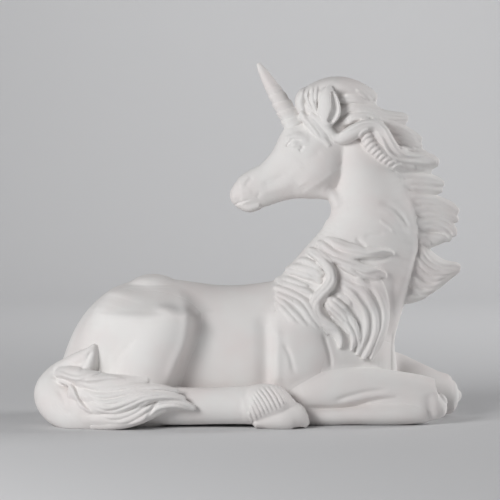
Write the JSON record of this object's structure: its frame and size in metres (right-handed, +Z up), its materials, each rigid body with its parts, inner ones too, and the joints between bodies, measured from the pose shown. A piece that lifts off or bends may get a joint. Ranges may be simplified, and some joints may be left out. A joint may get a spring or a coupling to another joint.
{
  "type": "unicorn figurine",
  "caption": "Recumbent unicorn in white bisque, head turned back over its flank, with a spiral horn, a blown mane, folded legs and a tail wrapped along the base.",
  "frame": {"origin": "middle of the figurine's box in plan, on the flat base", "axes": "+Z up, +X from the rump towards the folded knees, +Y from the picture's viewer to the far side"},
  "size_m": [0.2392, 0.1066, 0.2009],
  "materials": {
    "bisque": "unglazed fired white earthenware, matt and slightly chalky"
  },
  "bodies": {
    "root": {"brow_lock": "bisque", "far_body_shell": "bisque", "far_ear": "bisque", "far_fore_cannon": "bisque", "far_forearm": "bisque", "far_haunch": "bisque", "far_hind_cannon": "bisque", "far_hind_feather": "bisque", "far_hind_hoof": "bisque", "far_shoulder": "bisque", "far_shoulder_lock_breast": "bisque", "far_shoulder_lock_chest": "bisque", "far_shoulder_lock_curl": "bisque", "far_shoulder_lock_outer": "bisque", "far_shoulder_lock_saddle": "bisque", "far_shoulder_lock_throat": "bisque", "far_shoulder_lock_tuft": "bisque", "far_shoulder_lock_withers": "bisque", "forelock": "bisque", "head": "bisque", "horn": "bisque", "mane_crown": "bisque", "mane_drape": "bisque", "mane_lower": "bisque", "mane_middle": "bisque", "mane_nape": "bisque", "mane_poll": "bisque", "mane_trailing": "bisque", "mane_upper": "bisque", "near_body_shell": "bisque", "near_ear": "bisque", "near_fore_cannon": "bisque", "near_forearm": "bisque", "near_haunch": "bisque", "near_hind_cannon": "bisque", "near_hind_feather": "bisque", "near_hind_hoof": "bisque", "near_shoulder": "bisque", "neck_shell": "bisque", "shoulder_lock_breast": "bisque", "shoulder_lock_chest": "bisque", "shoulder_lock_curl": "bisque", "shoulder_lock_outer": "bisque", "shoulder_lock_saddle": "bisque", "shoulder_lock_throat": "bisque", "shoulder_lock_tuft": "bisque", "shoulder_lock_withers": "bisque", "swept_lock": "bisque", "tail_dock": "bisque", "tail_lock_flick": "bisque", "tail_lock_floor": "bisque", "tail_lock_lower": "bisque", "tail_lock_middle": "bisque", "tail_lock_top": "bisque", "tail_lock_upper": "bisque"}
  },
  "joints": []
}
